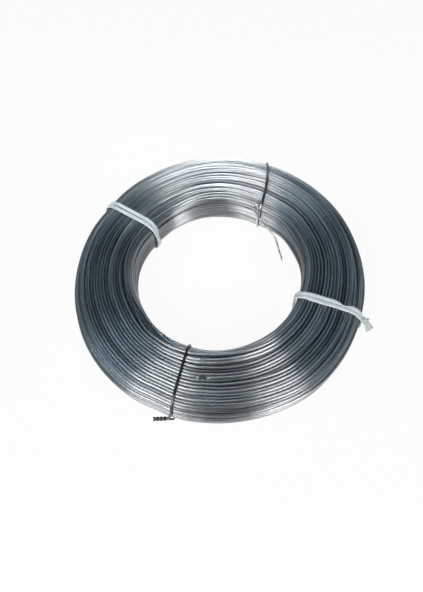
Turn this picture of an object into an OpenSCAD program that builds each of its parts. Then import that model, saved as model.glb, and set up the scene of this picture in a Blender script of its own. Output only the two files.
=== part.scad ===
// Galvanized fence wire, a retail coil lying flat.
// Two doubled plastic strings and two tie wires hold its turns together and are what it lies on.
// Origin: on the coil's axis, on the floor. +Z is up along the axis.

/* [Coil] */
// Diameter of the fence wire
wire_d = 2.2; // [1.6:0.1:3]
// Outer diameter of the coil
coil_od = 226; // [200:1:260]
// Diameter of the bore through the coil
coil_id = 126.6; // [100:0.2:136]
// Height of the coil, from its lowest turn to its highest
coil_h = 32.8; // [28:0.2:44]
// Rounding of the coil's outer shoulders
outer_shoulder_r = 15; // [9:0.5:18]
// Rounding of the coil's inner shoulders
inner_shoulder_r = 8; // [5:0.5:12]
// Depth of the furrows between neighbouring turns
furrow_depth = 0.8; // [0.3:0.1:1]

/* [Strings] */
// Width of one strand of string
strand_w = 3; // [2:0.1:4]
// Thickness of one strand of string
strand_t = 1.5; // [1:0.1:2.4]
// Space between the two strands of one string
strand_gap = 0.2; // [0.1:0.1:1]
// Direction of the left string at the bore, counted from +X towards +Y
left_string_bore_az = 137.6; // [125:0.1:150]
// Direction of the left string at the coil's outside
left_string_rim_az = 139.8; // [128:0.1:152]
// Direction of the right string at the bore
right_string_bore_az = 334; // [322:0.1:346]
// Direction of the right string at the coil's outside
right_string_rim_az = 334.6; // [322:0.1:346]
// Thickness of a string's knot
knot_d = 5.4; // [4.5:0.1:7]
// Length of a knot, away from the coil
knot_l = 5; // [4:0.1:7]
// Height of the right knot up the outer shoulder, as an angle
right_knot_angle = 10; // [0:1:30]
// Height of the left knot, low on the outer shoulder
left_knot_angle = -30; // [-40:1:0]
// Length of the right string's free end
right_tail_l = 5; // [3:0.5:10]
// Length of the left string's free end
left_tail_l = 4; // [2:0.5:6]
// How far the right free end is turned sideways from its knot's line
right_tail_turn = -45; // [-80:1:0]
// How far the left free end is turned sideways from its knot's line
left_tail_turn = 70; // [40:1:80]
// How far a free end droops from its knot's line, as an angle
tail_droop = 36; // [0:1:45]
// Width of a free end where it is cut
tail_w = 6.6; // [4:0.1:9]
// Thickness of a free end
tail_t = 1.2; // [0.8:0.1:2]

/* [Tie wires] */
// Diameter of the tie wires
tie_d = 1.5; // [1.2:0.1:2.4]
// Direction of the back tie wire at the bore
back_tie_bore_az = 52.2; // [45:0.1:60]
// Direction of the back tie wire at the coil's outside
back_tie_rim_az = 63; // [52:0.1:70]
// Width of the hook at the bore, between the middles of its two sides
hook_w = 2.6; // [2.2:0.1:4]
// Reach of the loose end round the bore, as an angle
loose_end_sweep = 36; // [25:1:45]
// Direction of the front tie wire at the bore
front_tie_bore_az = 246.9; // [235:0.1:258]
// Direction of the front tie wire at the coil's outside
front_tie_rim_az = 248.6; // [237:0.1:260]
// Length of the twisted pigtail
pigtail_l = 9; // [7:0.5:14]
// Full turns of twist in the pigtail
pigtail_turns = 1.75; // [1:0.25:3]
// How far the pigtail lies below the middle of the coil's side
pigtail_drop = 2; // [0:0.5:5]
// Angle at which the pigtail stands off the coil's side
pigtail_lean = 20; // [10:1:30]

/* [Clearances] */
// Room between the coil and what is tied round it
seat_gap = 0.2; // [0.1:0.05:0.5]
// Room between two wires that lie side by side
wire_gap = 0.15; // [0.1:0.05:0.4]

/* [Hidden] */

bore_r = coil_id / 2;
rim_r = coil_od / 2;
coil_bottom = seat_gap + max(tie_d, strand_t);
coil_top = coil_bottom + coil_h;
// Least straight part of the coil's side between its shoulders
least_wall = 0.2;
rim_fillet = min(outer_shoulder_r, (coil_h - least_wall) / 2);
bore_fillet = min(inner_shoulder_r, (coil_h - least_wall) / 2);
flat_run = rim_r - rim_fillet - bore_r - bore_fillet;
rim_wall = coil_h - 2 * rim_fillet;
bore_wall = coil_h - 2 * bore_fillet;

// Guide points of the back tie wire's loose end: wire diameters away from the bore's wall,
// share of its sweep round the bore, and share of its height at the hook. The last only steers the curve.
loose_end_guides = [
    [0.45, 0.25, 0.6],
    [0.85, 0.5, 0.4],
    [3, 0.75, 0.28],
    [4.25, 1, 0.2],
    [5.3, 1.25, 0.1]
];
// Guide points of its hook on the bore's upper shoulder: direction on the shoulder's bend,
// wire diameters off the seat, and share of the hook's width sideways.
hook_guides = [
    [165, 0, 0],
    [150, 0.1, 0.1],
    [137, 0.8, 0.15],
    [127, 1.7, 0.35],
    [131, 1.9, 0.85],
    [146, 1.4, 1],
    [164, 1, 0.7]
];
// Guide points where it crosses both legs: wires sideways from the short leg, and wires below the shoulder.
crossing_guides = [
    [0.55, 0],
    [-0.9, 1.7],
    [-2.1, 2.7]
];
// Facets of the swept tie wires
tie_sides = 8;
// Spacing of the rings along a tie wire
tie_ring_step = 2;
// Rings between two guide points of a hook, an eye or a loose end
guide_rings = 3;
// Rings in one turn of the pigtail
twist_rings = 10;
// Facets of full circles
$fn = 96;

// Length of a quarter bend
function quarter(r) = PI / 2 * r;

// Length once round the coil's section, on a line that stands off it by off
function girth(off) =
    2 * flat_run + rim_wall + bore_wall + 2 * quarter(rim_fillet + off) + 2 * quarter(bore_fillet + off);

// Point on a bend of the section: its centre, radius and direction
function on_bend(r, z, radius, angle) = [r + radius * cos(angle), z + radius * sin(angle)];

// Point [radius, height] at distance s along that line.
// It starts at the inner end of the flat top and runs outwards, down, back underneath and up the bore.
function section_at(s, off) =
    let (
        u = s - floor(s / girth(off)) * girth(off),
        rim_bend = quarter(rim_fillet + off),
        bore_bend = quarter(bore_fillet + off),
        a = flat_run,
        b = a + rim_bend,
        c = b + rim_wall,
        d = c + rim_bend,
        e = d + flat_run,
        f = e + bore_bend,
        g = f + bore_wall,
        rim_c = rim_r - rim_fillet,
        bore_c = bore_r + bore_fillet
    )
    u < a ? [bore_c + u, coil_top + off]
    : u < b ? on_bend(rim_c, coil_top - rim_fillet, rim_fillet + off, 90 - 90 * (u - a) / rim_bend)
    : u < c ? [rim_r + off, coil_top - rim_fillet - (u - b)]
    : u < d ? on_bend(rim_c, coil_bottom + rim_fillet, rim_fillet + off, -90 * (u - c) / rim_bend)
    : u < e ? [rim_c - (u - d), coil_bottom - off]
    : u < f ? on_bend(bore_c, coil_bottom + bore_fillet, bore_fillet + off, 270 - 90 * (u - e) / bore_bend)
    : u < g ? [bore_r - off, coil_bottom + bore_fillet + (u - f)]
    : on_bend(bore_c, coil_top - bore_fillet, bore_fillet + off, 180 - 90 * (u - g) / bore_bend);

// Distance along the section's line to the middle of the coil's outer side
function rim_mid_s(off) = flat_run + quarter(rim_fillet + off) + rim_wall / 2;

// Distance along the section's line to the upper end of the bore's straight wall
function bore_lip_s(off) = girth(off) - quarter(bore_fillet + off);

// Point at a radius, a direction and a height
function polar(r, az, z) = [r * cos(az), r * sin(az), z];

function unit(v) = v / norm(v);

function blend(a, b, t) = a + (b - a) * t;

// Smooth curve through guide points, with n steps between each two
function spline_point(a, b, c, d, t) =
    0.5 * (2 * b + (c - a) * t + (2 * a - 5 * b + 4 * c - d) * t ^ 2 + (3 * b - a - 3 * c + d) * t ^ 3);
function smooth_curve(p, n) = [
    for (i = [1 : len(p) - 3])
        for (j = [0 : n - 1])
            spline_point(p[i - 1], p[i], p[i + 1], p[i + 2], j / n),
    p[len(p) - 2]
];

function path_tangents(p) = [
    for (i = [0 : len(p) - 1]) unit(p[min(i + 1, len(p) - 1)] - p[max(i - 1, 0)])
];

// Side direction at each point, carried along the path without twisting
function carried_sides(t, i, side) =
    let (here = unit(side - (side * t[i]) * t[i]))
    i == len(t) - 1 ? [here] : concat([here], carried_sides(t, i + 1, here));

// A round wire along a path
module wire_along(path, d) {
    t = path_tangents(path);
    side = carried_sides(t, 0, [t[0][1], t[0][2], t[0][0]]);
    last = (len(path) - 1) * tie_sides;
    points = [
        for (i = [0 : len(path) - 1])
            for (k = [0 : tie_sides - 1])
                let (a = 360 * k / tie_sides)
                path[i] + d / 2 * (cos(a) * side[i] + sin(a) * cross(t[i], side[i]))
    ];
    walls = [
        for (i = [0 : len(path) - 2])
            for (k = [0 : tie_sides - 1])
                let (a = i * tie_sides + k, b = i * tie_sides + (k + 1) % tie_sides)
                [a + tie_sides, b + tie_sides, b, a]
    ];
    start_cap = [for (k = [0 : tie_sides - 1]) k];
    end_cap = [for (k = [tie_sides - 1 : -1 : 0]) last + k];
    polyhedron(points, concat([start_cap], walls, [end_cap]));
}

// The coil's section between two radii, grown by off
module section_shape(off, inner_r, outer_r) {
    bore_c = inner_r + bore_fillet;
    rim_c = outer_r - rim_fillet;
    bore_b = bore_fillet + off;
    rim_b = rim_fillet + off;
    translate([bore_c, coil_bottom - off])
        square([rim_c - bore_c, coil_h + 2 * off]);
    translate([bore_c - bore_b, coil_bottom + bore_fillet])
        square([bore_b, bore_wall]);
    translate([rim_c, coil_bottom + rim_fillet])
        square([rim_b, rim_wall]);
    for (z = [coil_bottom + bore_fillet, coil_top - bore_fillet])
        translate([bore_c, z])
            circle(bore_b);
    for (z = [coil_bottom + rim_fillet, coil_top - rim_fillet])
        translate([rim_c, z])
            circle(rim_b);
}

// The wound wire: one turned solid, with each outermost turn standing out of it as a round ridge
module wire_coil() {
    turn_line = girth(-wire_d / 2);
    turns = floor(turn_line / wire_d);
    color([0.66, 0.69, 0.72])
        rotate_extrude() {
            section_shape(-furrow_depth, bore_r, rim_r);
            for (i = [0 : turns - 1])
                translate(section_at(i * turn_line / turns, -wire_d / 2))
                    circle(d = wire_d);
        }
}

// One turn of string, drawn tight round what the coil shows between two radii
module string_loop(inner_r, outer_r) {
    rotate([90, 0, 0])
        linear_extrude(strand_w, center = true)
            difference() {
                section_shape(seat_gap + strand_t, inner_r, outer_r);
                section_shape(seat_gap, inner_r, outer_r);
            }
}

// The knot's barrel and the flared free end that comes out of it, pointing along +X
module string_knot(tail_l, tail_turn) {
    rim = strand_t / 2;
    neck_w = 2 * strand_t;
    tail_end = knot_d / 2 + tail_l;
    rotate([0, 90, 0])
        rotate_extrude() {
            square([knot_d / 2 - rim, knot_l]);
            translate([0, rim])
                square([knot_d / 2, knot_l - 2 * rim]);
            for (z = [rim, knot_l - rim])
                translate([knot_d / 2 - rim, z])
                    circle(rim);
        }
    translate([knot_l / 2, 0, 0])
        rotate([0, tail_droop, tail_turn])
            linear_extrude(tail_t, center = true)
                polygon([[0, -neck_w / 2], [tail_end, -tail_w / 2], [tail_end, tail_w / 2], [0, neck_w / 2]]);
}

// A string taken twice round the coil in one upright plane, and knotted at its outside
module string_tie(bore_az, rim_az, knot_angle, tail_l, tail_turn) {
    along = unit(polar(rim_r, rim_az, 0) - polar(bore_r, bore_az, 0));
    plane_az = atan2(along[1], along[0]);
    beside = bore_r * sin(bore_az - plane_az);
    half_w = strand_w + strand_gap / 2;
    inner_r = sqrt(bore_r ^ 2 - (abs(beside) + half_w) ^ 2);
    outer_r = sqrt(rim_r ^ 2 - max(abs(beside) - half_w, 0) ^ 2);
    bend_z = knot_angle < 0 ? coil_bottom + rim_fillet : coil_top - rim_fillet;
    foot = on_bend(outer_r - rim_fillet, bend_z, rim_fillet + seat_gap + strand_t / 2, knot_angle);
    rotate([0, 0, plane_az])
        translate([0, beside, 0]) {
            for (side = [-1, 1])
                translate([0, side * (strand_w + strand_gap) / 2, 0])
                    string_loop(inner_r, outer_r);
            translate([foot[0], 0, foot[1]])
                rotate([0, -knot_angle, 0])
                    string_knot(tail_l, tail_turn);
        }
}

module string_tie_left() {
    color([0.93, 0.94, 0.95])
        string_tie(left_string_bore_az, left_string_rim_az, left_knot_angle, left_tail_l, left_tail_turn);
}

module string_tie_right() {
    color([0.93, 0.94, 0.95])
        string_tie(right_string_bore_az, right_string_rim_az, right_knot_angle, right_tail_l, right_tail_turn);
}

// Place a point of a tie wire's section line: its direction changes evenly from the bore to the rim
function tie_point(s, off, bore_az, rim_az) =
    let (q = section_at(s, off), share = (q[0] - bore_r) / (rim_r - bore_r))
    polar(q[0], blend(bore_az, rim_az, share), q[1]);

// Tie wire round the section from s0 to s1
function tie_run(s0, s1, off, bore_az, rim_az) =
    let (n = ceil(abs(s1 - s0) / tie_ring_step))
    [for (i = [0 : n]) tie_point(blend(s0, s1, i / n), off, bore_az, rim_az)];

// Back tie wire: from its short end on the bore's wall, over the top, round underneath and up the bore again.
// There it hooks once round its own leg, crosses both legs and lies loose along the bore.
module tie_wire_back() {
    off = seat_gap + tie_d / 2;
    lap = tie_d + wire_gap;
    lap_az = lap / bore_r * 180 / PI;
    wall_r = bore_r - off;
    lap_r = wall_r - lap;
    lip_z = coil_top - bore_fillet;
    leg_az = back_tie_bore_az + lap_az;
    hook_az = hook_w / bore_r * 180 / PI;
    short_leg = 4 * tie_d;
    leg_end_s = bore_lip_s(off) - short_leg;
    loose_h = lip_z - short_leg / 2 - coil_bottom;
    over = tie_run(leg_end_s - girth(off), rim_mid_s(off), off, back_tie_bore_az, back_tie_rim_az);
    under = tie_run(rim_mid_s(off), bore_lip_s(off), off, leg_az, back_tie_rim_az);
    n = len(under);
    hook = [
        for (q = hook_guides)
            let (p = on_bend(bore_r + bore_fillet, lip_z, bore_fillet + off + q[1] * tie_d, q[0]))
            polar(p[0], leg_az + q[2] * hook_az, p[1])
    ];
    crossing = [for (q = crossing_guides) polar(lap_r, back_tie_bore_az + q[0] * lap_az, lip_z - q[1] * tie_d)];
    loose_end = [
        for (q = loose_end_guides)
            polar(wall_r - q[0] * tie_d, back_tie_bore_az - q[1] * loose_end_sweep, coil_bottom + q[2] * loose_h)
    ];
    hooked = smooth_curve(concat([under[n - 2], under[n - 1]], hook, crossing, loose_end), guide_rings);
    color([0.45, 0.47, 0.5])
        wire_along(concat(over, [for (i = [1 : n - 2]) under[i]], hooked), tie_d);
}

// Front tie wire: once round the section, and its two ends twisted together beside the coil
module tie_wire_front() {
    off = seat_gap + tie_d / 2;
    twist_r = (tie_d + wire_gap) / 2;
    leg_h = 4 * tie_d;
    upper_s = rim_mid_s(off) - leg_h;
    lower_s = rim_mid_s(off) + leg_h;
    run = tie_run(upper_s, lower_s - girth(off), off, front_tie_bore_az, front_tie_rim_az);
    eye_az = front_tie_rim_az - 2.5 * tie_d / rim_r * 180 / PI;
    root_z = (coil_bottom + coil_top) / 2 - pigtail_drop;
    root = polar(rim_r + seat_gap + twist_r + tie_d / 2, eye_az, root_z);
    up = [0, 0, 1];
    along = polar(1, eye_az - 90 + pigtail_lean, 0);
    twist_steps = ceil(twist_rings * pigtail_turns);
    twist = [
        for (i = [0 : twist_steps])
            let (a = 360 * pigtail_turns * i / twist_steps)
            [root + pigtail_l * i / twist_steps * along, twist_r * (cos(a) * up + sin(a) * cross(along, up))]
    ];
    upper_end = [for (q = twist) q[0] + q[1]];
    lower_end = [for (q = twist) q[0] - q[1]];
    last = len(run) - 1;
    upper_eye = smooth_curve([upper_end[2], upper_end[0], run[0], run[2]], 2 * guide_rings);
    lower_eye = smooth_curve([run[last - 2], run[last], lower_end[0], lower_end[2]], 2 * guide_rings);
    color([0.27, 0.28, 0.3])
        wire_along(concat(
            [for (i = [twist_steps : -1 : 1]) upper_end[i]],
            [for (i = [0 : len(upper_eye) - 2]) upper_eye[i]],
            run,
            [for (i = [1 : len(lower_eye) - 1]) lower_eye[i]],
            [for (i = [1 : twist_steps]) lower_end[i]]
        ), tie_d);
}

wire_coil();
string_tie_left();
string_tie_right();
tie_wire_back();
tie_wire_front();
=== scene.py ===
import math

import bmesh
import bpy
from mathutils import Matrix, Vector, noise


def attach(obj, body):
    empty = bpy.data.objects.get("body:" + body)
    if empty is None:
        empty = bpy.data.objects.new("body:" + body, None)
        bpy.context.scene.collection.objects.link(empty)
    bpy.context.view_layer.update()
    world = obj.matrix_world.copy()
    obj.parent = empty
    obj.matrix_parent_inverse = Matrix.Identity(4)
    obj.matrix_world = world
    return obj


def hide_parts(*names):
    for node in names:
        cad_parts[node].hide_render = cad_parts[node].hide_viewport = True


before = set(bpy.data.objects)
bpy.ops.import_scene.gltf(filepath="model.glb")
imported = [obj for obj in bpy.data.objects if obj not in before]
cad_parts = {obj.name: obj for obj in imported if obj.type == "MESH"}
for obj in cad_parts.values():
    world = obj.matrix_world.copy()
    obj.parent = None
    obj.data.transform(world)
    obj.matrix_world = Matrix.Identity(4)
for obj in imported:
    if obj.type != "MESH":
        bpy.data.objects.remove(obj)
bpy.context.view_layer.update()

# Outermost turns of the coil: drawn steel fence wire, hot-dip galvanized, wound into a flat ring.
# It is one wire that moves over by one place each turn. The turns wander, bunch up and sink a little,
# the ties press them down, and one cut end lies on top near the front.
wire_d = 2.2  # in mm, like every size here until polar() makes metres; angles are in degrees
bore_r, rim_r = 63.3, 113.0
coil_bottom, coil_h = 1.7, 32.8
rim_round, bore_round = 15.0, 8.0
rim_wall, bore_wall = coil_h - 2 * rim_round, coil_h - 2 * bore_round

# The angles at which each tie crosses the bore and the rim, and how far to each side it presses on the turns.
tie_places = ((137.6, 139.8), (334.0, 334.6), (52.9, 63.0), (246.9, 248.6))
tie_reach, tie_hold, tie_dent = 6, 0.75, 0.1

# The ring isn't quite round. Where its bore and its rim stand out or come in: angle, how far, over what angle.
bore_sway = ((4, 2.6, 24), (34, 2.4, 13), (168, 1.3, 20), (204, -1.0, 12))
rim_sway = ((302, 1.5, 16), (168, -1.1, 30), (140, -1.6, 7), (241, -1.2, 6))

# The cut end on the top: its place, how far it dips, and the share of a turn over which it bends down.
cut_end_az, cut_end_r = 259.4, 85.0
cut_end_dip, cut_end_bend = 0.3, 0.02

# Wider gaps on the top: angle, radius, drift of the radius with the angle, angle it spreads over, share of the room.
loose_places = (
    (40, 79.3, 0.02, 40, 30),
    (121, 75.0, 0, 16, 60),
    (112, 69.3, 0, 24, 14),
    (213, 68.7, -0.045, 18, 260),
    (275, 75.5, 0, 26, 60),
    (297, 87.6, -0.077, 34, 60),
    (228, 85.5, 0, 6, 30),
)
loose_w, loose_below_top = 1.2, 3

# How unevenly the turns lie side by side and up and down. A wave is its rate per turn, its row in the noise
# and its strength. Some stretches sink between their neighbours.
room_waves = ((1.9, 0, 4.2), (6.3, 7, 1.6))
lift_waves = ((2.3, 13, 0.45), (12.7, 17, 1.1), (26.3, 29, 0.25))
lift_bias = 0.6
sunk_rate, sunk_row, sunk_from, sunk_steepness, sunk_most = 3.7, 23, 0.2, 8, 1.7


def girth(depth, inner=bore_r, outer=rim_r):
    # Length once round the coil's section, on a line that lies that deep inside it.
    flat_run = outer - rim_round - inner - bore_round
    return 2 * flat_run + rim_wall + bore_wall + math.pi * (rim_round + bore_round - 2 * depth)


def section_point(s, depth, inner=bore_r, outer=rim_r):
    # Radius, height and outward direction on a line that lies that deep inside the coil's section.
    # It starts at the inner end of the flat top and runs outwards, down, back underneath and up the bore.
    rim_c, bore_c, top = outer - rim_round, inner + bore_round, coil_bottom + coil_h
    rim_b, bore_b = rim_round - depth, bore_round - depth
    flat_run = rim_c - bore_c
    legs = (
        (flat_run, (bore_c, top - depth), (1, 0), None),
        (math.pi / 2 * rim_b, (rim_c, top - rim_round), rim_b, 90),
        (rim_wall, (outer - depth, top - rim_round), (0, -1), None),
        (math.pi / 2 * rim_b, (rim_c, coil_bottom + rim_round), rim_b, 0),
        (flat_run, (rim_c, coil_bottom + depth), (-1, 0), None),
        (math.pi / 2 * bore_b, (bore_c, coil_bottom + bore_round), bore_b, -90),
        (bore_wall, (inner + depth, coil_bottom + bore_round), (0, 1), None),
        (math.pi / 2 * bore_b, (bore_c, top - bore_round), bore_b, -180),
    )
    s %= girth(depth, inner, outer)
    for length, at, way, first in legs:
        if s <= length:
            break
        s -= length
    if first is None:
        return at[0] + way[0] * s, at[1] + way[1] * s, -way[1], way[0]
    turn = math.radians(first - 90 * s / length)
    return at[0] + way * math.cos(turn), at[1] + way * math.sin(turn), math.cos(turn), math.sin(turn)


def apart(az, other):
    return abs((az - other + 180) % 360 - 180)


def pressed(az, r):
    # How far the nearest tie presses the turns down, from 0 to 1.
    share = (r - bore_r) / (rim_r - bore_r)
    return max(math.exp(-((apart(az, a + (b - a) * share) / tie_reach) ** 2)) for a, b in tie_places)


def settled(r, az):
    # The radius at which a turn comes to lie in the ring that isn't quite round.
    def sway(places):
        return sum(off * math.exp(-((apart(az, at) / spread) ** 2)) for at, off, spread in places)

    share = min(max((r - bore_r) / (rim_r - bore_r), 0), 1)
    return r + sway(bore_sway) * (1 - share) + sway(rim_sway) * share


def polar(r, az, z):
    return Vector((r * math.cos(math.radians(az)), r * math.sin(math.radians(az)), z)) / 1000


def wound_layer(depth, turns, stations, seed, start_s, wave, open_end):
    # Points of one layer, wound as one wire. The room left over between the turns is shared out unevenly.
    slack = girth(depth) - turns * wire_d
    count = turns * stations

    def wander(u, rate, row):
        # Noise along the wire, u in turns. Over the last turn it fades into the noise that leads to the first.
        fade = max(u - (turns - 1), 0)
        here = noise.noise((u * rate, row + seed, 0.5))
        return here + (noise.noise(((u - turns) * rate, row + seed, 0.5)) - here) * fade if fade else here

    def drift(u, waves):
        return sum(strength * wander(u, rate, row) for rate, row, strength in waves)

    def loose(u, az):
        # How much more room the next turn gets at the loose places.
        r, z, _, _ = section_point(start_s + u * girth(depth) / turns, depth)
        if z < coil_bottom + coil_h - depth - loose_below_top:
            return 0.0
        more = 0.0
        for at, gap_r, gap_drift, spread, share in loose_places:
            off = (az - at + 180) % 360 - 180
            more += share * math.exp(-(((r - gap_r - gap_drift * off) / loose_w) ** 2) - (off / spread) ** 2)
        return more

    room = []
    for j in range(count):
        u, az = j / stations, cut_end_az + 360 * (j % stations) / stations
        room.append(math.exp(drift(u, room_waves)) + (loose(u, az) if open_end else 0))
    places = [None] * count
    for k in range(stations):
        mine = [room[i * stations + k] for i in range(turns)]
        unit = slack / sum(mine)
        step = wire_d + unit * mine[0]
        s = start_s + step * k / stations
        az = cut_end_az + 360 * k / stations
        for i in range(turns):
            j = i * stations + k
            u = j / stations
            r, z, out_r, out_z = section_point(s, depth)
            press = pressed(az, r)
            lift = min(drift(u, lift_waves) - lift_bias, 0) * wave
            sunk = max(wander(u, sunk_rate, sunk_row) - sunk_from, 0) * sunk_steepness
            move = (lift - min(sunk, sunk_most) * wave) * (1 - tie_hold * press) - tie_dent * press
            if open_end:
                from_end = min(j, count - 1 - j) / (cut_end_bend * stations)
                move -= cut_end_dip * max(1 - from_end, 0) ** 2
            places[j] = polar(settled(r + out_r * move, az), az, z + out_z * move)
            s += wire_d + unit * mine[i]
    return places


def bent_wire(name, paths, thickness, sides, closed):
    # Round wire along each path, made a mesh. Its "run" attribute counts metres along the wire,
    # and "along" is the wire's direction.
    line = bpy.data.curves.new(name + "_line", "CURVE")
    line.dimensions = "3D"
    line.bevel_depth = thickness / 2000
    line.bevel_resolution = (sides - 4) // 2
    runs, ways = [], []
    for path in paths:
        spline = line.splines.new("POLY")
        spline.points.add(len(path) - 1)
        spline.use_cyclic_u = closed
        run = 0.0
        for i, (point, place) in enumerate(zip(spline.points, path)):
            point.co = (*place, 1)
            run += (place - path[i - 1]).length if i else 0
            runs.extend([run] * sides)
            after = path[(i + 1) % len(path)] if closed else path[min(i + 1, len(path) - 1)]
            before = path[i - 1] if closed else path[max(i - 1, 0)]
            ways.extend([*(after - before).normalized()] * sides)
    shaper = bpy.data.objects.new(name + "_line", line)
    bpy.context.scene.collection.objects.link(shaper)
    shown = shaper.evaluated_get(bpy.context.evaluated_depsgraph_get())
    mesh = bpy.data.meshes.new_from_object(shown)
    bpy.data.objects.remove(shaper)
    mesh.name = name
    mesh.attributes.new("run", "FLOAT", "POINT").data.foreach_set("value", runs)
    mesh.attributes.new("along", "FLOAT_VECTOR", "POINT").data.foreach_set("vector", ways)
    form = bmesh.new()
    form.from_mesh(mesh)
    bmesh.ops.holes_fill(form, edges=[e for e in form.edges if e.is_boundary], sides=sides)
    bmesh.ops.recalc_face_normals(form, faces=form.faces)
    form.to_mesh(mesh)
    form.free()
    piece = bpy.data.objects.new(name, mesh)
    bpy.context.scene.collection.objects.link(piece)
    mesh.shade_smooth()
    return piece


def wire_metal(name, dark, light, rough, painted_shade=None):
    # Bare wire: its tone and roughness drift along its length in long streaks, with faint short marks.
    # The fine lines left by drawing run along it, so its highlights spread round the wire.
    # Between two places, in metres along its length, its colour can be darkened: painted shade, for a stretch that
    # reflects the dim room instead of the lamps.
    mark_strength, rough_drift = 0.12, 0.08
    # How dark the painted shade makes the colour, and the length over which it fades in.
    painted_shade_tone, painted_shade_edge = 0.22, 0.004
    metal = bpy.data.materials.new(name)
    metal.use_nodes = True
    nodes, links = metal.node_tree.nodes, metal.node_tree.links
    shader = nodes["Principled BSDF"]
    shader.inputs["Metallic"].default_value = 1.0
    shader.inputs["Anisotropic"].default_value = 0.9
    shader.inputs["Anisotropic Rotation"].default_value = 0.25
    along = nodes.new("ShaderNodeAttribute")
    along.attribute_name = "along"
    links.new(along.outputs["Vector"], shader.inputs["Tangent"])
    run = nodes.new("ShaderNodeAttribute")
    run.attribute_name = "run"

    def streaks(scale, detail):
        marks = nodes.new("ShaderNodeTexNoise")
        marks.noise_dimensions = "1D"
        marks.inputs["Scale"].default_value = scale
        marks.inputs["Detail"].default_value = detail
        links.new(run.outputs["Fac"], marks.inputs["W"])
        return marks.outputs["Fac"]

    mixed = nodes.new("ShaderNodeMath")
    mixed.operation = "MULTIPLY_ADD"
    mixed.inputs[1].default_value = mark_strength
    links.new(streaks(scale=160.0, detail=2.0), mixed.inputs[0])
    links.new(streaks(scale=6.0, detail=1.5), mixed.inputs[2])
    tone = nodes.new("ShaderNodeValToRGB")
    tone.color_ramp.elements[0].position = 0.34
    tone.color_ramp.elements[0].color = (*dark, 1)
    tone.color_ramp.elements[1].position = 0.74
    tone.color_ramp.elements[1].color = (*light, 1)
    links.new(mixed.outputs["Value"], tone.inputs["Fac"])
    links.new(tone.outputs["Color"], shader.inputs["Base Color"])
    # Painted shade: between the two places the colour is darkened, fading in at each edge.
    if painted_shade:
        first, last = painted_shade
        off = nodes.new("ShaderNodeMath")
        off.operation = "SUBTRACT"
        off.inputs[1].default_value = (first + last) / 2
        links.new(run.outputs["Fac"], off.inputs[0])
        either = nodes.new("ShaderNodeMath")
        either.operation = "ABSOLUTE"
        links.new(off.outputs["Value"], either.inputs[0])
        fade = nodes.new("ShaderNodeMapRange")
        fade.inputs["From Min"].default_value = (last - first) / 2 - painted_shade_edge
        fade.inputs["From Max"].default_value = (last - first) / 2
        fade.inputs["To Min"].default_value = painted_shade_tone
        fade.inputs["To Max"].default_value = 1.0
        links.new(either.outputs["Value"], fade.inputs["Value"])
        shade = nodes.new("ShaderNodeVectorMath")
        shade.operation = "SCALE"
        links.new(tone.outputs["Color"], shade.inputs[0])
        links.new(fade.outputs["Result"], shade.inputs["Scale"])
        links.new(shade.outputs["Vector"], shader.inputs["Base Color"])
    dull = nodes.new("ShaderNodeMapRange")
    dull.inputs["From Min"].default_value = 0.3
    dull.inputs["From Max"].default_value = 0.7
    dull.inputs["To Min"].default_value = rough
    dull.inputs["To Max"].default_value = rough + rough_drift
    links.new(streaks(scale=15.0, detail=2.0), dull.inputs["Value"])
    links.new(dull.outputs["Result"], shader.inputs["Roughness"])
    return metal


zinc = wire_metal("galvanized_zinc", dark=(0.18, 0.19, 0.205), light=(0.52, 0.54, 0.56), rough=0.31)
first_layer = wound_layer(
    depth=wire_d / 2,
    turns=59,
    stations=160,
    seed=3,
    start_s=cut_end_r - bore_r - bore_round,
    wave=0.55,
    open_end=True,
)
outer_turns = bent_wire("outer_turns", [first_layer], wire_d, sides=8, closed=False)
outer_turns.data.materials.append(zinc)
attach(outer_turns, "root")
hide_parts("wire_coil")

# Turns that lie under the outermost ones: two layers of the same wire, seen only in the gaps.
# Little light reaches them, and their colour is darker than the outer turns': painted shade.
painted_shade_zinc = wire_metal("painted_shade_zinc", dark=(0.16, 0.17, 0.185), light=(0.38, 0.4, 0.42), rough=0.34)
second_layer = wound_layer(depth=3.0, turns=56, stations=112, seed=31, start_s=0, wave=0.3, open_end=False)
third_layer = wound_layer(depth=4.9, turns=50, stations=72, seed=57, start_s=0, wave=0.2, open_end=False)
inner_turns = bent_wire("inner_turns", [second_layer, third_layer], wire_d, sides=6, closed=True)
inner_turns.data.materials.append(painted_shade_zinc)
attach(inner_turns, "root")
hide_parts("wire_coil")

# White strings: soft plastic film string, taken twice round the coil at the left and at the right,
# drawn tight, tied at the outside with a small knot, and cut off short so that the film flares out.
strand_w, strand_t, strand_gap = 3.0, 1.4, 0.2
seat_gap = 0.2
cross_spread, knot_spread, gather_spread = 4, 5, 11
knot_l, knot_r = 5.0, 2.7
wrap_w, wrap_t = 2.3, 1.7
knot_wraps = ((1.2, 24, 1.0), (3.3, -20, 0.92))  # place along the knot, tilt and size of each
tail_tilt = 36
tail_w, tail_flare, tail_t, tail_thinning = 3.6, 2.6, 1.7, 0.9
strand_tone, knot_tone = 0, 1


def add_band(form, along, around, place, run, tone):
    # A tube of film. place(t, turn) gives its points, t along it and turn round it, both from 0 to 1.
    # run is its length in metres, and tone says which of the string's materials it has.
    film = form.loops.layers.uv.verify()
    made = bmesh.ops.create_grid(form, x_segments=along, y_segments=around, size=0.5)["verts"]
    spots = {v: (v.co.x + 0.5, v.co.y + 0.5) for v in made}
    for face in {f for v in made for f in v.link_faces}:
        face.material_index = tone
        for corner in face.loops:
            t, turn = spots[corner.vert]
            corner[film].uv = (t * run, turn)
    for v, (t, turn) in spots.items():
        v.co = place(t, turn)


def film_ring(turn, wide, thick):
    # Point on a strand's flat section with round edges.
    a, b = math.cos(2 * math.pi * turn), math.sin(2 * math.pi * turn)
    return wide / 2 * math.copysign(abs(a) ** 0.75, a), thick / 2 * math.copysign(abs(b) ** 0.75, b)


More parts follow.
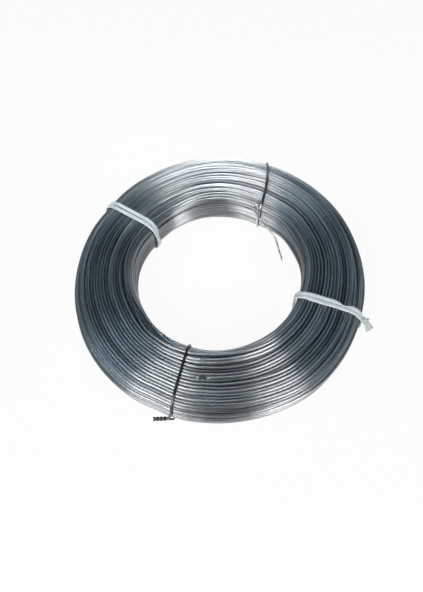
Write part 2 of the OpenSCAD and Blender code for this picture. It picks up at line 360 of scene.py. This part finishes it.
def tied_string(name, bore_az, rim_az, seam, cross_s, drawn_in, knot_angle, tail_l, tail_turn, seed):
    # One string. seam is the gap between its two strands, cross_s the place on the top where one crosses the
    # other's edge (0 for none), drawn_in how far it cuts into the rim, and knot_angle the knot's place up the rim.
    ends = polar(rim_r, rim_az, 0) - polar(bore_r, bore_az, 0)
    plane_az = math.degrees(math.atan2(ends.y, ends.x))
    beside = bore_r * math.sin(math.radians(bore_az - plane_az))
    half_w = strand_w + strand_gap / 2
    inner = math.sqrt(bore_r**2 - (abs(beside) + half_w) ** 2)
    outer = math.sqrt(rim_r**2 - max(abs(beside) - half_w, 0) ** 2) - drawn_in
    turned = Matrix.Rotation(math.radians(plane_az), 4, "Z")
    form = bmesh.new()
    depth = -(seat_gap + strand_t / 2)
    length = girth(depth, inner, outer)
    bend = rim_round - depth
    lean = math.radians(knot_angle)
    knot_s = outer - rim_round - inner - bore_round + math.pi / 2 * bend
    knot_s -= lean * bend if knot_angle > 0 else lean * bend - rim_wall
    bore_s = length - math.pi / 2 * (bore_round - depth) - bore_wall / 2

    def near(s, place, spread):
        off = (s - place + length / 2) % length - length / 2
        return math.exp(-((off / spread) ** 2))

    for side in (-1, 1):

        def strand(t, turn):
            # It narrows where the strands cross, under the knot and where they are gathered in the bore.
            s = t * length
            x, z, out_x, out_z = section_point(s, depth, inner, outer)
            over = near(s, cross_s, cross_spread) if cross_s else 0.0
            waist = over if side > 0 else 0.0
            drawn, gathered = near(s, knot_s, knot_spread), near(s, bore_s, gather_spread)
            wide = strand_w * (1.02 - 0.55 * waist - 0.2 * drawn - 0.25 * gathered)
            wide *= 1 + 0.1 * noise.noise((t * 9, side, seed))
            thick = strand_t * (1 - 0.2 * waist) * (1 + 0.1 * noise.noise((t * 14, side + 4, seed)))
            a, b = film_ring(turn, wide, thick)
            fold = 0.12 * noise.noise((a * 1.6, b * 1.6 + 5 * side, t * 16 + seed))
            parted = seam + 0.5 * noise.noise((t * 7, 2.5, seed))
            y = beside + side * (wide + parted) / 2 * (1 - 0.4 * drawn - 0.5 * gathered) - 0.5 * over + a
            b += fold + side * 0.25 * gathered * strand_t - 0.15 * waist * strand_t
            return turned @ Vector((x + out_x * b, y, z + out_z * b)) / 1000

        add_band(form, along=150, around=14, place=strand, run=length / 1000, tone=strand_tone)
    bend_z = coil_bottom + (rim_round if knot_angle < 0 else coil_h - rim_round)
    foot = Vector((outer - rim_round + bend * math.cos(lean), beside, bend_z + bend * math.sin(lean)))
    seat = turned @ Matrix.Translation(foot) @ Matrix.Rotation(-lean, 4, "Y")
    for at, tilt, size in knot_wraps:
        wrap = seat @ Matrix.Translation((at, 0, 0)) @ Matrix.Rotation(math.radians(tilt), 4, "Z")

        def knot_wrap(t, turn):
            a, b = film_ring(turn, wrap_w, wrap_t)
            ring = (knot_r - wrap_t / 2) * size + b
            spin = 2 * math.pi * t
            across = a + 0.3 * math.sin(2 * spin)
            return wrap @ Vector((across, ring * math.cos(spin), ring * math.sin(spin))) / 1000

        add_band(form, along=28, around=10, place=knot_wrap, run=0.012, tone=knot_tone)
    tail = seat @ Matrix.Translation((knot_l / 2, 0, 0))
    tail = tail @ Matrix.Rotation(math.radians(tail_turn), 4, "Z")
    tail = tail @ Matrix.Rotation(math.radians(tail_tilt), 4, "Y")

    def tail_film(t, turn):
        # The free end flares out and lies in pleats.
        wide = tail_w + tail_flare * t**1.3
        a, b = film_ring(turn, wide, tail_t - tail_thinning * t)
        pleat = 0.3 * t * math.sin(a / wide * 13 + seed) + 0.25 * noise.noise((a * 0.9, t * 3, seed))
        return tail @ Vector(((knot_r + tail_l) * t + 0.25 * math.sin(a * 2.1) * t, a, b + pleat)) / 1000

    add_band(form, along=14, around=28, place=tail_film, run=0.008, tone=knot_tone)
    bmesh.ops.remove_doubles(form, verts=form.verts, dist=1e-6)
    bmesh.ops.holes_fill(form, edges=[e for e in form.edges if e.is_boundary], sides=0)
    bmesh.ops.recalc_face_normals(form, faces=form.faces)
    mesh = bpy.data.meshes.new(name)
    form.to_mesh(mesh)
    form.free()
    mesh.shade_smooth()
    piece = bpy.data.objects.new(name, mesh)
    bpy.context.scene.collection.objects.link(piece)
    return piece


def film_plastic(name, dark, light):
    # Film string: fine creases along its length bump it, and the same creases darken and lighten its colour as
    # painted shade and painted highlight.
    film = bpy.data.materials.new(name)
    film.use_nodes = True
    nodes, links = film.node_tree.nodes, film.node_tree.links
    shader = nodes["Principled BSDF"]
    shader.inputs["Roughness"].default_value = 0.42
    spot = nodes.new("ShaderNodeUVMap")
    spread = nodes.new("ShaderNodeMapping")
    spread.inputs["Scale"].default_value = (90, 7, 1)
    links.new(spot.outputs["UV"], spread.inputs["Vector"])
    creases = nodes.new("ShaderNodeTexNoise")
    creases.inputs["Scale"].default_value = 1.0
    creases.inputs["Detail"].default_value = 4.0
    links.new(spread.outputs["Vector"], creases.inputs["Vector"])
    # Painted shade and painted highlight in the creases.
    tone = nodes.new("ShaderNodeValToRGB")
    tone.color_ramp.elements[0].position = 0.3
    tone.color_ramp.elements[0].color = (*dark, 1)
    tone.color_ramp.elements[1].position = 0.62
    tone.color_ramp.elements[1].color = (*light, 1)
    links.new(creases.outputs["Fac"], tone.inputs["Fac"])
    links.new(tone.outputs["Color"], shader.inputs["Base Color"])
    bump = nodes.new("ShaderNodeBump")
    bump.inputs["Strength"].default_value = 0.5
    bump.inputs["Distance"].default_value = 0.0003
    links.new(creases.outputs["Fac"], bump.inputs["Height"])
    links.new(bump.outputs["Normal"], shader.inputs["Normal"])
    return film


film = film_plastic("white_film_string", dark=(0.6, 0.68, 0.71), light=(0.82, 0.88, 0.91))
# The knots and the cut ends get a darker copy of the same film: painted shade.
painted_shade_film = film_plastic("folded_film_string", dark=(0.36, 0.4, 0.41), light=(0.62, 0.66, 0.66))
string_left = tied_string(
    "string_left",
    bore_az=137.6,
    rim_az=139.8,
    seam=0.6,
    cross_s=0,
    drawn_in=1.5,
    knot_angle=-30,
    tail_l=4,
    tail_turn=70,
    seed=2,
)
string_right = tied_string(
    "string_right",
    bore_az=334.0,
    rim_az=334.6,
    seam=0.15,
    cross_s=27,
    drawn_in=0,
    knot_angle=10,
    tail_l=5,
    tail_turn=-45,
    seed=5,
)
for string, node in ((string_left, "string_tie_left"), (string_right, "string_tie_right")):
    string.data.materials.append(film)
    string.data.materials.append(painted_shade_film)
    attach(string, "root")
    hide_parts(node)

# Back tie wire: thin galvanized wire bent once round the coil. One end lies short on the bore's wall,
# and the other hooks round its own leg at the bore's edge and lies loose along the bore.
tie_d, wire_gap, tie_sides = 1.5, 0.15, 10
tie_depth = -(seat_gap + tie_d / 2)
rim_mid_s = rim_r - rim_round - bore_r - bore_round + math.pi / 2 * (rim_round - tie_depth) + rim_wall / 2
lip_s = girth(tie_depth) - math.pi / 2 * (bore_round - tie_depth)
lip_z = coil_bottom + coil_h - bore_round
back_az, back_rim_az = 52.2, 63.0
short_end_l = 6
lap = tie_d + wire_gap
lap_az, hook_az = math.degrees(lap / bore_r), math.degrees(2.6 / bore_r)
loose_end_az, loose_end_h = 36, 21.8


def round_section(first, last, bore_az, rim_az):
    # Tie wire from one place round the section to another. Its direction changes evenly from the bore to the rim.
    count = math.ceil(abs(last - first))
    path = []
    for i in range(count + 1):
        r, z, _, _ = section_point(first + (last - first) * i / count, tie_depth)
        az = bore_az + (rim_az - bore_az) * (r - bore_r) / (rim_r - bore_r)
        path.append(polar(r, az, z))
    return path


def smooth_bend(guides, steps):
    # A smooth curve through the guide points, from the second to the last but one.
    path = []
    for a, b, c, d in zip(guides, guides[1:], guides[2:], guides[3:]):
        for i in range(steps):
            t = i / steps
            path.append(
                0.5 * (2 * b + (c - a) * t + (2 * a - 5 * b + 4 * c - d) * t**2 + (3 * b - a - 3 * c + d) * t**3)
            )
    return path + [guides[-2]]


over = round_section(lip_s - short_end_l - girth(tie_depth), rim_mid_s, back_az, back_rim_az)
under = round_section(rim_mid_s, lip_s, back_az + lap_az, back_rim_az)
hook = []
# Up and over the bore's edge: angle round the edge, thicknesses off the coil, share of the hook's width.
for lean, off, share in (
    (165, 0, 0),
    (150, 0.1, 0.1),
    (137, 0.8, 0.15),
    (127, 1.7, 0.35),
    (131, 1.9, 0.85),
    (146, 1.4, 1),
    (164, 1, 0.7),
):
    reach = bore_round - tie_depth + off * tie_d
    at = math.radians(lean)
    hook_r, hook_z = bore_r + bore_round + reach * math.cos(at), lip_z + reach * math.sin(at)
    hook.append(polar(hook_r, back_az + lap_az + share * hook_az, hook_z))
# Back across its own leg: laps to the side, thicknesses below the edge.
for side, below in ((0.55, 0), (-0.9, 1.7), (-2.1, 2.7)):
    hook.append(polar(bore_r + tie_depth - lap, back_az + side * lap_az, lip_z - below * tie_d))
# Loose along the bore: thicknesses off the coil, shares of the loose end's angle and height.
for off, sweep, height in ((0.45, 0.25, 0.6), (0.85, 0.5, 0.4), (3, 0.75, 0.28), (4.25, 1, 0.2), (5.3, 1.25, 0.1)):
    loose_r, loose_z = bore_r + tie_depth - off * tie_d, coil_bottom + loose_end_h * height
    hook.append(polar(loose_r, back_az - loose_end_az * sweep, loose_z))
loose_end = smooth_bend(under[-3:-1:2] + under[-1:] + hook, 6)
tie_back = bent_wire("tie_back", [over + under[1:-1] + loose_end], tie_d, tie_sides, closed=False)
# The part of its leg that runs over the coil gets painted shade: its colour is darkened there, where the wire
# reflects the dim room.
bright_tie = wire_metal(
    "bright_tie_metal", dark=(0.5, 0.52, 0.54), light=(0.78, 0.8, 0.82), rough=0.36, painted_shade=(0.014, 0.078)
)
tie_back.data.materials.append(bright_tie)
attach(tie_back, "root")
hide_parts("tie_wire_back")

# Front tie wire: thin dark annealed wire, once round the coil.
# Its two ends are twisted together with pliers into a short pigtail outside the coil.
front_az, front_rim_az = 246.9, 248.6
twist_r = (tie_d + wire_gap) / 2
pigtail_l, pigtail_turns, pigtail_steps = 9.0, 1.75, 42
pigtail_drop, pigtail_lean = 2, 20
eye_half_h, eye_w, eye_steps = 4 * tie_d, 2.5 * tie_d, 12
round_coil = round_section(
    rim_mid_s - eye_half_h, rim_mid_s + eye_half_h - girth(tie_depth), front_az, front_rim_az
)
eye_az = front_rim_az - math.degrees(eye_w / rim_r)
root = polar(rim_r + seat_gap + twist_r + tie_d / 2, eye_az, coil_bottom + coil_h / 2 - pigtail_drop)
along = polar(1000, eye_az - 90 + pigtail_lean, 0)
up = Vector((0, 0, 1))
across = along.cross(up)
ends = ([], [])
for i in range(pigtail_steps + 1):
    turn = 2 * math.pi * pigtail_turns * i / pigtail_steps
    swing = (math.cos(turn) * up + math.sin(turn) * across) * twist_r / 1000
    for end, way in zip(ends, (1, -1)):
        end.append(root + along * pigtail_l / 1000 * i / pigtail_steps + way * swing)
upper_eye = smooth_bend([ends[0][5], ends[0][0], round_coil[0], round_coil[4]], eye_steps)
lower_eye = smooth_bend([round_coil[-5], round_coil[-1], ends[1][0], ends[1][5]], eye_steps)
front_line = ends[0][:0:-1] + upper_eye[:-1] + round_coil + lower_eye[1:] + ends[1][1:]
tie_front = bent_wire("tie_front", [front_line], tie_d, tie_sides, closed=False)
dark_tie = wire_metal("dark_tie_metal", dark=(0.1, 0.103, 0.106), light=(0.19, 0.195, 0.2), rough=0.36)
tie_front.data.materials.append(dark_tie)
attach(tie_front, "root")
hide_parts("tie_wire_front")

# Floor: a wide pale sheet that the coil lies on.
# It looks nearly white, by itself and in the bare wire, and keeps the coil's shadow.
floor_size, floor_tone, floor_white = 3, 0.94, 0.93
sheet = bmesh.new()
bmesh.ops.create_grid(sheet, x_segments=1, y_segments=1, size=floor_size)
floor_mesh = bpy.data.meshes.new("floor")
sheet.to_mesh(floor_mesh)
sheet.free()
floor = bpy.data.objects.new("floor", floor_mesh)
bpy.context.scene.collection.objects.link(floor)
pale = bpy.data.materials.new("pale_floor")
pale.use_nodes = True
nodes, links = pale.node_tree.nodes, pale.node_tree.links
shader = nodes["Principled BSDF"]
shader.inputs["Base Color"].default_value = (floor_tone, floor_tone, floor_tone, 1)
shader.inputs["Roughness"].default_value = 1.0
white = nodes.new("ShaderNodeEmission")
seen = nodes.new("ShaderNodeLightPath")
plain = nodes.new("ShaderNodeMath")
plain.operation = "MAXIMUM"
links.new(seen.outputs["Is Camera Ray"], plain.inputs[0])
links.new(seen.outputs["Is Glossy Ray"], plain.inputs[1])
through = nodes.new("ShaderNodeMath")
through.operation = "MAXIMUM"
links.new(plain.outputs[0], through.inputs[0])
links.new(seen.outputs["Is Transmission Ray"], through.inputs[1])
part = nodes.new("ShaderNodeMath")
part.operation = "MULTIPLY"
part.inputs[1].default_value = floor_white
links.new(through.outputs[0], part.inputs[0])
mix = nodes.new("ShaderNodeMixShader")
links.new(part.outputs[0], mix.inputs[0])
links.new(shader.outputs[0], mix.inputs[1])
links.new(white.outputs[0], mix.inputs[2])
links.new(mix.outputs[0], nodes["Material Output"].inputs["Surface"])
floor_mesh.materials.append(pale)

# Soft studio light: two large lamps in front, weak ones above and bluish ones that fill in the sides,
# and three small narrow ones that light the far turns, in a dim room.
world = bpy.data.worlds.new("room")
bpy.context.scene.world = world
world.use_nodes = True
world.node_tree.nodes["Background"].inputs["Color"].default_value = (0.5, 0.55, 0.6, 1)
world.node_tree.nodes["Background"].inputs["Strength"].default_value = 0.02
neutral, faint_warm, warm = (1.0, 0.98, 0.95), (1.0, 0.97, 0.94), (1.0, 0.96, 0.92)
faint_cool, cool = (0.9, 0.97, 1.0), (0.57, 0.83, 1.0)
far_y, aim_z = 0.105, 0.03
# Direction and height in degrees, distance, width and length in metres, watts, tint, where it aims, spread.
for name, az, el, away, wide, tall, power, tint, aim_y, spread in (
    ("front_left", 228, 36, 1.5, 0.76, 1.0, 12.6, neutral, 0, 180),
    ("front_right", 300, 36, 1.5, 0.55, 1.0, 10.4, neutral, 0, 180),
    ("overhead", 90, 64, 1.5, 0.5, 0.5, 1.15, cool, 0, 180),
    ("overhead_front", 90, 82, 1.5, 0.3, 0.4, 0.5, warm, 0, 180),
    ("fill_left", 190, 46, 1.5, 0.8, 0.5, 2.6, cool, 0, 180),
    ("fill_right", 332, 40, 1.5, 1.0, 0.5, 1.2, cool, 0, 180),
    ("behind", 86, 45, 0.7, 0.22, 0.15, 0.019, faint_warm, far_y, 12),
    ("behind_low", 86, 27, 0.7, 0.28, 0.15, 0.011, faint_cool, far_y, 10),
    ("behind_top", 95, 82, 0.7, 0.2, 0.15, 0.013, faint_cool, far_y, 12),
):
    lamp = bpy.data.lights.new(name, "AREA")
    lamp.shape = "RECTANGLE"
    lamp.size, lamp.size_y = wide, tall
    lamp.spread = math.radians(spread)
    lamp.energy = power
    lamp.color = tint
    stand = bpy.data.objects.new(name, lamp)
    toward = polar(1000 * math.cos(math.radians(el)), az, 1000 * math.sin(math.radians(el)))
    stand.location = toward * away + Vector((0, aim_y, aim_z))
    stand.rotation_euler = toward.to_track_quat("Z", "Y").to_euler()
    stand.visible_camera = False
    bpy.context.scene.collection.objects.link(stand)

# Camera at the photograph's place: it looks steeply down on the coil from close by, turned a little.
# Its height is an angle, and its distance is in metres from a point just above the floor.
camera_el, camera_turn = math.radians(64.06), math.radians(-5.575)
camera_away, camera_aim = 0.4181, Vector((0, 0, 0.0018))
lens = bpy.data.cameras.new("camera")
lens.lens = 31.196
lens.shift_x = -0.0123
lens.shift_y = -0.0163
camera = bpy.data.objects.new("camera", lens)
back = Vector((0, -math.cos(camera_el), math.sin(camera_el)))
right = Vector((1, 0, 0))
facing = Matrix((right, back.cross(right), back)).transposed() @ Matrix.Rotation(camera_turn, 3, "Z")
camera.matrix_world = Matrix.Translation(camera_aim + back * camera_away) @ facing.to_4x4()
bpy.context.scene.collection.objects.link(camera)
bpy.context.scene.camera = camera
bpy.context.scene.view_settings.view_transform = "Standard"
